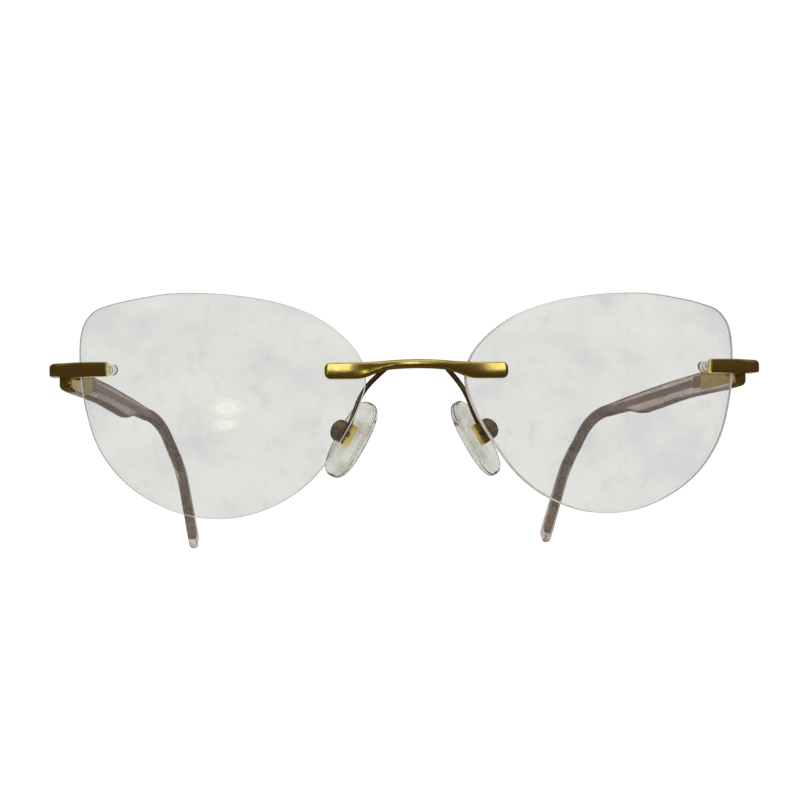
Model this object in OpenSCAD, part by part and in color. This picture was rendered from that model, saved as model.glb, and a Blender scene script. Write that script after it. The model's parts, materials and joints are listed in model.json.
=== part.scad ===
// Rimless eyeglasses, standing open on a flat surface.
// They rest on the lower edges of both lenses and on the two temple tips.
// X runs across the face, the lenses face -Y and the temples run back along +Y.
// "left" and "right" are the wearer's: left is +X.

/* [Lenses] */
// Gap between the two lenses
bridge_gap = 19; // [17:0.5:21]
// Radius of the front surface of a lens
base_curve = 130; // [110:5:180]
// Thickness of a lens
lens_t = 1.9; // [1.6:0.1:2.2]
// Angle by which each lens is turned back round the face
wrap = 6; // [4:0.5:8]

/* [Lens mounts] */
// Diameter of a mounting pin
pin_d = 1.0; // [0.8:0.1:1.2]
// Wall of the clear compression sleeve
sleeve_wall = 0.3; // [0.25:0.05:0.4]
// Spacing of the two pins in a lens
pin_pitch = 2.6; // [2.4:0.1:3]

/* [Bridge] */
// Height of the bridge paddle on a lens
paddle_h = 3.05; // [2.6:0.05:3.4]
// Height of the bridge at its middle
bridge_h = 1.65; // [1.4:0.05:2]

/* [Temples] */
// Angle by which the open temples lean inwards
toe_in = 6.2; // [4:0.1:8]
// Angle by which the temples drop from the square of the lenses
panto = 3; // [0:0.5:6]
// Thickness of a temple
temple_t = 2.3; // [2:0.1:2.8]
// Angle between the shaft of a temple and its ear piece
ear_drop = 38; // [34:1:44]
// Length of the straight ear piece
ear_len = 39.1; // [34:0.1:46]
// Angle by which the bend of the ear piece is turned inwards
ear_turn = 14; // [6:1:16]

/* [Hinges] */
// Diameter of the hinge barrels
barrel_d = 2.3; // [2:0.1:2.6]
// Diameter of the hinge screw
hinge_screw_d = 0.9; // [0.8:0.05:1]

/* [Nose pads] */
// Length of a nose pad
pad_len = 15.4; // [13:0.2:16]
// Width of a nose pad
pad_w = 8; // [7:0.1:8.6]
// Angle of the pads from upright, seen from the front
pad_lean = 29; // [24:0.5:32]
// Angle by which the pads open towards the face
pad_splay = 38; // [30:1:42]
// Diameter of the pad arm wire
arm_d = 1.0; // [0.8:0.1:1.2]

/* [Hidden] */
$fn = 48;

gold = [0.66, 0.56, 0.22];
bronze = [0.42, 0.30, 0.16];
clear_lens = [0.86, 0.88, 0.87, 0.35];
clear_plastic = [0.80, 0.81, 0.78, 0.6];
acetate = [0.72, 0.64, 0.58, 0.75];
steel_dark = [0.30, 0.29, 0.26];

// Room that a piece of one body leaves to a fixed neighbour, and a turning piece to its bearing
fit_gap = 0.02;
run_gap = 0.05;

// ---------- Outlines ----------

// One point of the smooth curve that passes through b and c, with a and d beside them
function smooth_point(a, b, c, d, t) =
    0.5 * (2 * b + (c - a) * t + (2 * a - 5 * b + 4 * c - d) * t * t + (3 * b - a - 3 * c + d) * t * t * t);

// A closed smooth curve through the points p, with n pieces from each to the next
function closed_curve(p, n = 4) = [
    for (i = [0 : len(p) - 1])
        for (k = [0 : n - 1])
            smooth_point(p[(i + len(p) - 1) % len(p)], p[i], p[(i + 1) % len(p)], p[(i + 2) % len(p)], k / n)
];

// An open smooth curve through the points p
function open_curve(p, n = 4) = [
    for (i = [0 : len(p) - 2])
        for (k = [0 : (i == len(p) - 2 ? n : n - 1)])
            smooth_point(p[max(i - 1, 0)], p[i], p[i + 1], p[min(i + 2, len(p) - 1)], k / n)
];

function backwards(p) = [for (i = [len(p) - 1 : -1 : 0]) p[i]];
function mirrored(p) = [for (q = backwards(p)) [-q[0], q[1]]];

// Points of a round arc from angle a0 to angle a1
function arc(centre, r, a0, a1, n) = [
    for (k = [0 : n]) centre + r * [cos(a0 + (a1 - a0) * k / n), sin(a0 + (a1 - a0) * k / n)]
];

// The lens outline about its box centre, +X towards the temple
lens_outline = closed_curve([
    [24.1, 0], [25.0, 7.5], [24.7, 13.2], [22.7, 16.4], [19.2, 17.8], [13.5, 18.9], [7, 19.6],
    [-2, 19.2], [-11, 17.7], [-18.6, 14.8], [-24.7, 9.8], [-27.2, 4.4], [-25.9, -1.5], [-22.3, -8.1],
    [-17.3, -14.6], [-11, -19], [-3.8, -21.3], [4, -21.1], [11.2, -18.5], [17.3, -14.1], [21.7, -7.9]
]);
lens_half_w = 27.25;
lens_bottom = -21.5;

// ---------- Frame of the lenses ----------
// X = 0 is the middle, Y = 0 the chord through the nasal edges, Z = 0 the middle height of the lenses.

// Depth of the front surface behind the lens vertex
function sag(u, v) = base_curve - sqrt(base_curve * base_curve - u * u - v * v);
// Place on the front surface of the left lens, at (u, v) from the box centre of the lens
function on_lens(u, v) = [
    bridge_gap / 2 + (u + lens_half_w) * cos(wrap) - sag(u, v) * sin(wrap),
    (u + lens_half_w) * sin(wrap) + sag(u, v) * cos(wrap),
    v
];
// Direction in which the surface faces there, as a turn about Z
function lens_turn(u) = wrap + asin(u / base_curve);

mount_z = [4.97, 5.83];
nasal_u = -23.0;
temporal_u = 21.55;
nasal_place = on_lens(nasal_u, mount_z[0]);
temporal_place = on_lens(temporal_u, mount_z[1]);
pin_offset = pin_pitch / 2;
sleeve_r = pin_d / 2 + sleeve_wall;
flange_t = 0.7;
flange_r = 1;
// How far the pins reach into the metal in front of the lens, and the sleeve tubes past their flange
pin_root = 0.6;
tube_over = 0.45;
// The lens surfaces lean a little over the height of a mount, so flat faces stand off them
seat_gap = 0.12;

// ---------- Temple ----------
// In the frame of a temple the hinge axis is Z, +Y runs back along the shaft and +X points outwards.

axis_in = 1.35;
hinge_place = [62.05, 13.5, 5.05];
knuckle_z = [-0.6, 0.25, 1.3, 2.1];
cap_end = 3.8;
spine_end = 17.15;
head_end = 21;
pin_place = [21.8, 0.4];
spine_t = 0.6;
hinge_head_d = 1.7;
bend_start = [77, -0.36];
bend_r = 18;
shaft_slope = 5;
shaft_half_h = 1.4;
tip_half_h = 2.3;
core_half_h = 0.75;
core_end_gap = 4;

// The bend of the ear piece: an arc that starts along the shaft and turns down
bend_centre = bend_start + bend_r * [-sin(shaft_slope), -cos(shaft_slope)];
drop_angle = shaft_slope + ear_drop;
bend_end = bend_centre + bend_r * [sin(drop_angle), cos(drop_angle)];
ear_dir = [cos(drop_angle), -sin(drop_angle)];
ear_up = [sin(drop_angle), cos(drop_angle)];
ear_end = bend_end + ear_len * ear_dir;
tip_centre = ear_end - tip_half_h * ear_dir;
// Along the shaft, where the ear piece turns inwards and where it turns back again
turn_y = 76;
turn_back_y = 96;

shaft_top = [[0, 2.4], [16, 2.2], [34, 2.2], [54, 1.85], [66, 1.5], [77, 1.03]];
shaft_low = [[77, -1.76], [66, -1.7], [60, -1.9], [52, -3.1], [44, -2.95], [26, -2.3], [6, -2.55], [0, -2.4]];

temple_outline = concat(
    open_curve(shaft_top),
    [for (k = [1 : 6]) bend_centre + (bend_r + shaft_half_h) * bend_point(k / 6)],
    [tip_centre - 22 * ear_dir + (shaft_half_h + 0.35) * ear_up],
    arc(tip_centre, tip_half_h, 90 - drop_angle, -90 - drop_angle, 12),
    [tip_centre - 22 * ear_dir - (shaft_half_h + 0.35) * ear_up],
    [for (k = [6 : -1 : 1]) bend_centre + (bend_r - shaft_half_h) * bend_point(k / 6)],
    open_curve(shaft_low)
);
function bend_point(t) = [sin(shaft_slope + ear_drop * t), cos(shaft_slope + ear_drop * t)];

// The core wire's outline, a band along the middle of the temple with a flat head at its front
core_back = ear_end - core_end_gap * ear_dir;
function core_outline(h) = concat(
    open_curve([[head_end, 0.35 + h], [54, -0.1 + h], bend_start + [0, h]], 3),
    [for (k = [1 : 5]) bend_centre + (bend_r + h) * bend_point(k / 5)],
    [core_back + h * ear_up, core_back - h * ear_up],
    [for (k = [5 : -1 : 1]) bend_centre + (bend_r - h) * bend_point(k / 5)],
    open_curve([bend_start - [0, h], [54, -0.1 - h], [head_end, 0.35 - h]], 3)
);

// ---------- How the open glasses stand on a surface ----------

// Place in the lens frame of the point (y, z) on the middle plane of the left temple
function from_temple(y, z) =
    let (inner = axis_in + temple_t / 2,
         turned = max(min(y, turn_back_y) - turn_y, 0),
         x1 = inner - turned * sin(ear_turn),
         y1 = min(y, turn_y) + turned * cos(ear_turn) + max(y - turn_back_y, 0),
         x2 = x1 * cos(toe_in) - y1 * sin(toe_in),
         y2 = x1 * sin(toe_in) + y1 * cos(toe_in))
    hinge_place + [x2, y2 * cos(panto) + z * sin(panto), -y2 * sin(panto) + z * cos(panto)];

lens_foot = on_lens(-1, lens_bottom);
tip_foot = from_temple(tip_centre[0], tip_centre[1]);
foot_run = tip_foot[1] - lens_foot[1];
foot_rise = tip_foot[2] - lens_foot[2];
rest_tilt = asin(tip_half_h / norm([foot_run, foot_rise])) - atan2(foot_rise, foot_run);
rest_z = -(lens_foot[2] * cos(rest_tilt) + lens_foot[1] * sin(rest_tilt));
bridge_front = [-0.5, 6.4];
front_y = bridge_front[0] * cos(rest_tilt) - bridge_front[1] * sin(rest_tilt);
back_y = tip_foot[1] * cos(rest_tilt) - tip_foot[2] * sin(rest_tilt) + tip_half_h;
rest_y = -(front_y + back_y) / 2;

// Puts a piece that is made in the lens frame where it stands
module standing() {
    translate([0, rest_y, rest_z]) rotate([rest_tilt, 0, 0]) children();
}

// Puts a piece that is made for the wearer's left on the side that is asked for
module on_side(side) {
    if (side == "left") children();
    else mirror([1, 0, 0]) children();
}

// The frame at a mount, with +Y into the lens along the pins
module at_mount(place, u) {
    translate(place) rotate([0, 0, lens_turn(u)]) children();
}

// The frame of an open temple
module at_temple() {
    translate(hinge_place) rotate([-panto, 0, 0]) rotate([0, 0, toe_in]) children();
}

// An outline in Y and Z, given a thickness along X from x0
module side_plate(outline, x0, t) {
    translate([x0, 0, 0]) rotate([90, 0, 90]) linear_extrude(t) polygon(outline);
}

// ---------- Lenses ----------

module lens_ball(r) {
    translate([0, base_curve, 0]) rotate([90, 0, 0]) sphere(r = r, $fn = 96);
}

// Two holes of a mount, from 1 mm in front of the lens to 1 mm behind it
module mount_holes(r) {
    for (side = [-1, 1]) translate([side * pin_offset, -1, 0]) rotate([-90, 0, 0])
        cylinder(r = r, h = lens_t + 2);
}

module lens(side) {
    color(clear_lens) standing() on_side(side) difference() {
        translate([bridge_gap / 2, 0, 0]) rotate([0, 0, wrap]) translate([lens_half_w, 0, 0]) difference() {
            intersection() {
                translate([0, 9, 0]) rotate([90, 0, 0]) linear_extrude(10) polygon(lens_outline);
                lens_ball(base_curve);
            }
            lens_ball(base_curve - lens_t);
        }
        at_mount(nasal_place, nasal_u) mount_holes(sleeve_r + fit_gap);
        at_mount(temporal_place, temporal_u) mount_holes(sleeve_r + fit_gap);
    }
}

// Two pins that stand out of a metal mount, through the lens and into the sleeve
module mount_pins() {
    for (side = [-1, 1]) translate([side * pin_offset, -pin_root, 0]) rotate([-90, 0, 0])
        cylinder(d = pin_d, h = pin_root + lens_t + flange_t + 0.3);
}

// Clear double sleeve: two tubes in the lens holes, joined by a flange behind the lens
module sleeve(over) {
    flange_y = lens_t + seat_gap;
    difference() {
        union() {
            for (side = [-1, 1]) translate([side * pin_offset, 0, 0]) rotate([-90, 0, 0])
                cylinder(r = sleeve_r, h = flange_y + flange_t + tube_over);
            translate([0, flange_y, 0]) rotate([-90, 0, 0]) {
                for (x = [-pin_offset - over, pin_offset])
                    translate([x, 0, 0]) cylinder(r = flange_r, h = flange_t);
                translate([-pin_offset - over, -flange_r, 0])
                    cube([2 * pin_offset + over, 2 * flange_r, flange_t]);
            }
        }
        for (side = [-1, 1]) translate([side * pin_offset, -1, 0]) rotate([-90, 0, 0])
            cylinder(r = pin_d / 2 + fit_gap, h = lens_t + 4);
    }
}

module sleeve_nasal(side) {
    color(clear_plastic) standing() on_side(side) at_mount(nasal_place, nasal_u) sleeve(0.3);
}

module sleeve_temporal(side) {
    color(clear_plastic) standing() on_side(side) at_mount(temporal_place, temporal_u) sleeve(0.85);
}

// ---------- Bridge ----------

paddle_end = 16.8;
paddle_corner = 1.1;
paddle_low = 3.45;
bridge_low = [[0, 5.27], [3, 5.19], [5.4, 4.97], [7.3, 4.5], [8.9, 3.9], [10.4, 3.52], [13, 3.45]];
bridge_top = [[0, 5.27 + bridge_h], [3.5, 6.84], [7, 6.62], [10, 6.5], [13, 6.5]];

module bridge_front_view() {
    half = concat(
        open_curve(bridge_low),
        arc([paddle_end - paddle_corner, paddle_low + paddle_corner], paddle_corner, -90, 0, 4),
        arc([paddle_end - paddle_corner, paddle_low + paddle_h - paddle_corner], paddle_corner, 0, 90, 4),
        backwards(open_curve(bridge_top))
    );
    polygon(concat(half, mirrored(half)));
}

bridge_fore = [[0, -0.5], [4, -0.25], [7.2, 0.4], [10, 1.0], [13, 1.2], [paddle_end, 1.05]];
bridge_aft = [[0, 1.0], [3.5, 1.15], [6, 1.5], [8.2, 2.3], [10, 2.74]];

module bridge_top_view() {
    half = concat(open_curve(bridge_fore), [[paddle_end, 2.24]], backwards(open_curve(bridge_aft)));
    polygon(concat(half, mirrored(half)));
}

module bridge() {
    color(gold) standing() {
        intersection() {
            translate([0, 5, 0]) rotate([90, 0, 0]) linear_extrude(10) bridge_front_view();
            linear_extrude(10) bridge_top_view();
        }
        for (side = ["left", "right"]) on_side(side) at_mount(nasal_place, nasal_u) mount_pins();
    }
}

// ---------- Nose pads ----------
// In the frame of a pad +X points out from the nose, +Y back across the pad and +Z up along it.

pad_place = [11.65, 9.0, -7.3];
pad_face = 0.65;
pad_rim = 1.25;
pad_crown = 0.8;
box_place = [2.5, 0.4];
box_r = 2.05;
box_flat = 1.1;
box_w = 2.8;
slot_w = 1.6;
slot_r = 1.4;
post_w = 1.5;
post_r = 1.05;
pad_screw_d = 0.7;
pad_screw_head_r = 0.5;

// Turns a pad direction into the lens frame
function pad_dir(x, y, z) =
    let (x1 = x * cos(pad_splay) + y * sin(pad_splay), y1 = -x * sin(pad_splay) + y * cos(pad_splay))
    [x1 * cos(pad_lean) - z * sin(pad_lean), y1, x1 * sin(pad_lean) + z * cos(pad_lean)];

module at_pad() {
    translate(pad_place) rotate([0, -pad_lean, 0]) rotate([0, 0, -pad_splay]) children();
}

// Axis of the pad screw, front to back through the box
module at_pad_screw() {
    translate([box_place[0], 0, box_place[1]]) rotate([-90, 0, 0]) children();
}

// Oval with full sides and ends, as the pad is seen on its face
pad_square = 0.75;
function pad_oval(w, h, n = 40) = [
    for (k = [0 : n - 1])
        let (c = cos(360 * k / n), s = sin(360 * k / n))
        [w / 2 * sign(c) * pow(abs(c), pad_square), h / 2 * sign(s) * pow(abs(s), pad_square)]
];

module pad_blank(t) {
    rotate([90, 0, -90]) linear_extrude(t) polygon(pad_oval(pad_w, pad_len));
}

crown_r = 28;

module nose_pad(side) {
    color(clear_plastic) standing() on_side(side) at_pad() difference() {
        union() {
            translate([pad_face, 0, 0]) pad_blank(pad_rim);
            intersection() {
                translate([pad_face - 0.3, 0, 0]) pad_blank(pad_rim + pad_crown);
                translate([pad_face - pad_rim - pad_crown + crown_r, 0, 0]) sphere(r = crown_r, $fn = 180);
            }
        }
        pad_core_shape(fit_gap);
    }
}

// Stiff plate inside the soft pad, with the post that the screw holds
module pad_core_shape(grow) {
    plate = [0.6, 2.6, 7.2];
    translate([-0.35 - grow, -plate[1] / 2 - grow, -plate[2] / 2 - grow])
        cube(plate + 2 * [grow, grow, grow]);
    translate([0, -post_w / 2 - grow, box_place[1] - post_r - grow])
        cube([box_place[0], post_w + 2 * grow, 2 * (post_r + grow)]);
    at_pad_screw() cylinder(r = post_r + grow, h = post_w + 2 * grow, center = true);
}

module pad_core(side) {
    color(steel_dark) standing() on_side(side) at_pad() difference() {
        pad_core_shape(0);
        at_pad_screw() cylinder(d = pad_screw_d + 2 * run_gap, h = 6, center = true);
    }
}

module pad_box(side) {
    color(gold) standing() on_side(side) at_pad() difference() {
        union() {
            at_pad_screw() cylinder(r = box_r, h = box_w, center = true);
            translate([box_flat, -box_w / 2, box_place[1] - box_r])
                cube([box_place[0] - box_flat, box_w, 2 * box_r]);
        }
        translate([box_flat - 5, -5, box_place[1] - 5]) cube([5, 10, 10]);
        at_pad_screw() cylinder(r = slot_r, h = slot_w, center = true);
        translate([0, -slot_w / 2, box_place[1] - slot_r]) cube([box_place[0], slot_w, 2 * slot_r]);
        at_pad_screw() cylinder(d = pad_screw_d + 2 * fit_gap, h = 6, center = true);
        at_pad_screw() translate([0, 0, -box_w / 2 - 1]) cylinder(r = pad_screw_head_r + fit_gap, h = 1.25);
    }
}

module pad_screw(side) {
    color(steel_dark) standing() on_side(side) at_pad() at_pad_screw() difference() {
        union() {
            translate([0, 0, -box_w / 2]) cylinder(d = pad_screw_d, h = box_w);
            translate([0, 0, -box_w / 2 - 0.1]) cylinder(r = pad_screw_head_r, h = 0.35);
        }
        translate([-0.6, -0.08, -box_w / 2 - 0.2]) cube([1.2, 0.16, 0.25]);
    }
}

// Route of the pad arm, from the back of the bridge to the top of the pad box
arm_end = pad_place + pad_dir(box_place[0] - 0.4, 0, box_place[1] + box_r + 0.06);
arm_route = [
    [5.2, 1.42, 5.7], [5.7, 2.6, 5.35], [6.9, 4.2, 4.3], [8.3, 5.9, 2.9], [9.4, 7.1, 1.5],
    [10.4, 7.9, -0.4], [11.1, 8.05, -2.3], arm_end
];

function unit(v) = v / norm(v);

// A round wire along the route, with flat ends square to the directions first and last
module swept_wire(route, d, first, last, sides = 12) {
    n = len(route);
    along = [
        for (i = [0 : n - 1])
            i == 0 ? first : i == n - 1 ? last : unit(route[i + 1] - route[i - 1])
    ];
    across = [for (a = along) unit(cross(a, [0.3, -0.2, 0.93]))];
    points = [
        for (i = [0 : n - 1])
            let (up = cross(along[i], across[i]))
            for (k = [0 : sides - 1])
                route[i] + d / 2 * (cos(360 * k / sides) * across[i] + sin(360 * k / sides) * up)
    ];
    walls = [
        for (i = [0 : n - 2])
            for (k = [0 : sides - 1])
                let (a = i * sides + k, b = i * sides + (k + 1) % sides)
                [a, a + sides, b + sides, b]
    ];
    ends = [[for (k = [0 : sides - 1]) k], [for (k = [sides - 1 : -1 : 0]) (n - 1) * sides + k]];
    polyhedron(points, concat(walls, ends), convexity = 6);
}

module pad_arm(side) {
    start_dir = unit([-0.19, 0.98, 0]);
    end_dir = -pad_dir(0, 0, 1);
    color(bronze) standing() on_side(side)
        swept_wire(open_curve(arm_route, 3), arm_d, start_dir, end_dir);
}

// ---------- Endpieces and hinges ----------

plate_t = 1.2;
end_low = 4.45;
end_high = 7.2;

// The endpiece from above: a plate on the lens, round the corner and back to the hinge
module endpiece_top_view() {
    a = lens_turn(temporal_u);
    t = [cos(a), sin(a)];
    n = [-sin(a), cos(a)];
    p = [temporal_place[0], temporal_place[1]];
    polygon(concat(
        [p - 2.3 * t - (plate_t + seat_gap) * n],
        [p + 5.2 * t - (plate_t + seat_gap) * n],
        open_curve([[64.6, 7.55], [65.9, 8.2], [66.75, 9.4], [66.95, 11], [66.8, 14.5]], 3),
        [[63.3, 14.5], [63.3, 11.2], [61.6, 9.6], [61.45, 8.1]],
        [p + 3.3 * t - seat_gap * n],
        [p - 2.3 * t - seat_gap * n]
    ));
}

// The endpiece from the front: a long low loaf, rounder at its outer top
module endpiece_front_view() {
    polygon(concat(
        [[54, end_low], [63, end_low + 0.05], [66.5, end_low + 0.35], [67.2, end_low + 0.7]],
        arc([66.05, end_high - 1.25], 1.15, 0, 80, 6),
        [[61, end_high + 0.03], [57, end_high - 0.05], [54, end_high - 0.15]]
    ));
}

module endpiece(side) {
    color(gold) standing() on_side(side) {
        difference() {
            intersection() {
                linear_extrude(10) endpiece_top_view();
                translate([0, 20, 0]) rotate([90, 0, 0]) linear_extrude(20) endpiece_front_view();
            }
            at_temple() translate([-5, -0.06, -10]) cube([20, 20, 20]);
            at_temple() translate([0, 0, -5]) cylinder(d = barrel_d + 0.3, h = 12);
            at_temple() hinge_leaf_plate(fit_gap);
        }
        at_mount(temporal_place, temporal_u) mount_pins();
    }
}

// Plate of the front hinge leaf, brazed to the inner side of the endpiece
module hinge_leaf_plate(grow) {
    translate([0.2 - grow, -2.9 - grow, knuckle_z[0] - grow])
        cube([1.55 + 2 * grow, 2.8 + 2 * grow, knuckle_z[3] - knuckle_z[0] + 2 * grow]);
}

module knuckle(z0, z1) {
    translate([0, 0, z0]) cylinder(d = barrel_d, h = z1 - z0);
}

module hinge_leaf(side) {
    color(gold) standing() on_side(side) at_temple() difference() {
        union() {
            knuckle(knuckle_z[0], knuckle_z[1]);
            knuckle(knuckle_z[2], knuckle_z[3]);
            translate([0, -barrel_d / 2, knuckle_z[0]]) cube([1.2, 1.0, knuckle_z[3] - knuckle_z[0]]);
            hinge_leaf_plate(0);
        }
        translate([0, 0, knuckle_z[1]]) cylinder(d = barrel_d + 0.3, h = knuckle_z[2] - knuckle_z[1]);
        translate([0, 0, -5]) cylinder(d = hinge_screw_d + 2 * fit_gap, h = 12);
    }
}

module hinge_screw(side) {
    head_z = knuckle_z[3];
    color(steel_dark) standing() on_side(side) at_temple() difference() {
        union() {
            translate([0, 0, knuckle_z[0] - 0.1]) cylinder(d = hinge_screw_d, h = head_z - knuckle_z[0] + 0.3);
            translate([0, 0, head_z + fit_gap]) cylinder(d = hinge_head_d, h = 0.4);
        }
        translate([-1, -0.1, head_z + 0.22]) cube([2, 0.2, 0.3]);
    }
}

// ---------- Temples ----------

// A length of the temple between two distances from the hinge, with a little lap at both ends
module temple_length(outline, x0, t, from, to) {
    lap = 0.15;
    intersection() {
        side_plate(outline, x0, t);
        translate([-20, from - lap, -60]) cube([40, to - from + 2 * lap, 80]);
    }
}

// Turns pieces about the middle of the temple's thickness, at a distance from the hinge
module turned_at(y, angle) {
    middle = axis_in + temple_t / 2;
    translate([middle, y, 0]) rotate([0, 0, angle]) translate([-middle, -y, 0]) children();
}

// The temple's whole shape: the shaft, the bend that turns inwards and the end that turns back
module temple_shape(outline, x0, t) {
    temple_length(outline, x0, t, -5, turn_y);
    turned_at(turn_y, ear_turn) {
        temple_length(outline, x0, t, turn_y, turn_back_y);
        turned_at(turn_back_y, -ear_turn) temple_length(outline, x0, t, turn_back_y, 140);
    }
}

// Metal plate let into the inner face of the temple, with the middle barrel of the hinge
module temple_spine_plate(grow) {
    translate([axis_in - 0.01 - grow, 0.12, -1.6 - grow])
        cube([spine_t + 0.01 + 2 * grow, spine_end - 0.12 + grow, 3.7 + 2 * grow]);
}

module temple_spine(side) {
    color(gold) standing() on_side(side) at_temple() difference() {
        union() {
            temple_spine_plate(0);
            knuckle(knuckle_z[1] + run_gap, knuckle_z[2] - run_gap);
            translate([0, 0.12, knuckle_z[1] + run_gap])
                cube([axis_in + 0.2, barrel_d / 2 - 0.12, knuckle_z[2] - knuckle_z[1] - 2 * run_gap]);
        }
        translate([0, 0, -5]) cylinder(d = hinge_screw_d + 2 * run_gap, h = 12);
    }
}

// Metal cap that closes the front end of the temple
module temple_cap(side) {
    color(gold) standing() on_side(side) at_temple() difference() {
        intersection() {
            side_plate(temple_outline, axis_in, temple_t);
            side_plate(
                concat(arc([1.0, -1.5], 0.9, 180, 270, 5), [[cap_end, -3.2], [cap_end, 3]], [[0.1, 3]]),
                axis_in - 1, temple_t + 2
            );
        }
        temple_spine_plate(fit_gap);
    }
}

module core_wire_shape(grow) {
    temple_shape(core_outline(core_half_h + grow), axis_in + 0.65 - grow, 1.0 + 2 * grow);
    translate([axis_in + 0.25 - grow, spine_end + 0.05 - grow, -0.85 - grow])
        cube([1.4 + 2 * grow, head_end - spine_end + 0.2 + 2 * grow, 2.4 + 2 * grow]);
}

module core_wire(side) {
    color(steel_dark) standing() on_side(side) at_temple() difference() {
        core_wire_shape(0);
        temple_pin_shape(fit_gap);
    }
}

module temple_pin_shape(grow) {
    translate([axis_in - grow, pin_place[0], pin_place[1]]) rotate([0, 90, 0])
        cylinder(r = 0.5 + grow, h = 1.9 + 2 * grow);
}

module temple_pin(side) {
    color(steel_dark) standing() on_side(side) at_temple() temple_pin_shape(0);
}

module temple(side) {
    color(acetate) standing() on_side(side) at_temple() difference() {
        temple_shape(temple_outline, axis_in, temple_t);
        translate([-5, -5, -10]) cube([20, 5 + cap_end + fit_gap, 20]);
        temple_spine_plate(fit_gap);
        core_wire_shape(fit_gap);
        temple_pin_shape(fit_gap);
    }
}

// ---------- Pieces ----------

lens("left");  // lens_left
lens("right");  // lens_right
bridge();
sleeve_nasal("left");  // sleeve_nasal_left
sleeve_nasal("right");  // sleeve_nasal_right
sleeve_temporal("left");  // sleeve_temporal_left
sleeve_temporal("right");  // sleeve_temporal_right
pad_arm("left");  // pad_arm_left
pad_arm("right");  // pad_arm_right
pad_box("left");  // pad_box_left
pad_box("right");  // pad_box_right
pad_screw("left");  // pad_screw_left
pad_screw("right");  // pad_screw_right
nose_pad("left");  // nose_pad_left
nose_pad("right");  // nose_pad_right
pad_core("left");  // pad_core_left
pad_core("right");  // pad_core_right
endpiece("left");  // endpiece_left
endpiece("right");  // endpiece_right
hinge_leaf("left");  // hinge_leaf_left
hinge_leaf("right");  // hinge_leaf_right
hinge_screw("left");  // hinge_screw_left
hinge_screw("right");  // hinge_screw_right
temple_spine("left");  // temple_spine_left
temple_spine("right");  // temple_spine_right
temple_cap("left");  // temple_cap_left
temple_cap("right");  // temple_cap_right
temple_pin("left");  // temple_pin_left
temple_pin("right");  // temple_pin_right
core_wire("left");  // core_wire_left
core_wire("right");  // core_wire_right
temple("left");  // temple_left
temple("right");  // temple_right
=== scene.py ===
"""Rimless eyeglasses standing open: the pieces that are seen, laid over the frame of the part.

Shapes are made in millimetres, in the frame that suits each piece, and placed in metres.
"""
import json
import math

import bmesh
import bpy
from mathutils import Matrix, Vector
from mathutils.geometry import delaunay_2d_cdt

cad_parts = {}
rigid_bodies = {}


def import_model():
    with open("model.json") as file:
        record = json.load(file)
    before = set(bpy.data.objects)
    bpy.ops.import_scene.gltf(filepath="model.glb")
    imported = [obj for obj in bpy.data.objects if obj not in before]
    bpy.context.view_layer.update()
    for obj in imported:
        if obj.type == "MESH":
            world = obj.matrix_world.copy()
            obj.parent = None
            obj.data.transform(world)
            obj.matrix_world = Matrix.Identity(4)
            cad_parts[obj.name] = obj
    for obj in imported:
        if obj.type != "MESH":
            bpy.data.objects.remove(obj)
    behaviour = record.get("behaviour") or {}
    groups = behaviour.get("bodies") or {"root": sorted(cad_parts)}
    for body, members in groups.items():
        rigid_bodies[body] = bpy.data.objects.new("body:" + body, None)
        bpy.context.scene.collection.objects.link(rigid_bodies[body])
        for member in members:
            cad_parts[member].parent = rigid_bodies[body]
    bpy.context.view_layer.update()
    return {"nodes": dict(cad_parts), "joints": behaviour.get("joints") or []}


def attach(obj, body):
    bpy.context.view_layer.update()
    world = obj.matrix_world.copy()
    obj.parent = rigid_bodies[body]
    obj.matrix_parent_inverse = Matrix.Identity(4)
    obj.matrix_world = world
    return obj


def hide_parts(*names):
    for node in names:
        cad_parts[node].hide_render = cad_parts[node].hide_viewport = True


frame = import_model()

SIDES = ("left", "right")
MM = 0.001

# ---------- Dimensions, in millimetres and degrees ----------

BRIDGE_GAP = 19
BASE_CURVE = 130
LENS_T = 1.9
WRAP = math.radians(6)
PIN_D = 1.0
SLEEVE_R = 0.8
PIN_PITCH = 2.6
LENS_HALF_W = 27.25
NASAL_MOUNT = (-23.0, 4.97)
TEMPORAL_MOUNT = (21.55, 5.83)
SEAT_GAP = 0.12
EDGE_BEVEL = 0.14

LENS_OUTLINE = [
    (24.1, 0), (25.0, 7.5), (24.7, 13.2), (22.7, 16.4), (19.2, 17.8), (13.5, 18.9), (7, 19.6),
    (-2, 19.2), (-11, 17.7), (-18.6, 14.8), (-24.7, 9.8), (-27.2, 4.4), (-25.9, -1.5), (-22.3, -8.1),
    (-17.3, -14.6), (-11, -19), (-3.8, -21.3), (4, -21.1), (11.2, -18.5), (17.3, -14.1), (21.7, -7.9),
]

BRIDGE_LOW = [(0, 5.27), (3, 5.19), (5.4, 4.97), (7.3, 4.5), (8.9, 3.9), (10.4, 3.52), (13, 3.45), (17, 3.45)]
BRIDGE_TOP = [(0, 6.92), (3.5, 6.84), (7, 6.62), (10, 6.5), (13, 6.5), (17, 6.5)]
BRIDGE_FORE = [(0, -0.5), (4, -0.25), (7.2, 0.4), (10, 1.0), (13, 1.2), (16.8, 1.05)]
BRIDGE_AFT = [(0, 1.0), (3.5, 1.15), (6, 1.5), (8.2, 2.3), (10, 2.74), (13, 2.52), (16.8, 2.24)]
PADDLE_END = 16.8
PADDLE_CORNER = 1.1

HINGE_PLACE = Vector((62.05, 13.5, 5.05))
PANTO = math.radians(3)
TOE_IN = math.radians(6.2)
PLATE_T = 1.2

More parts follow.
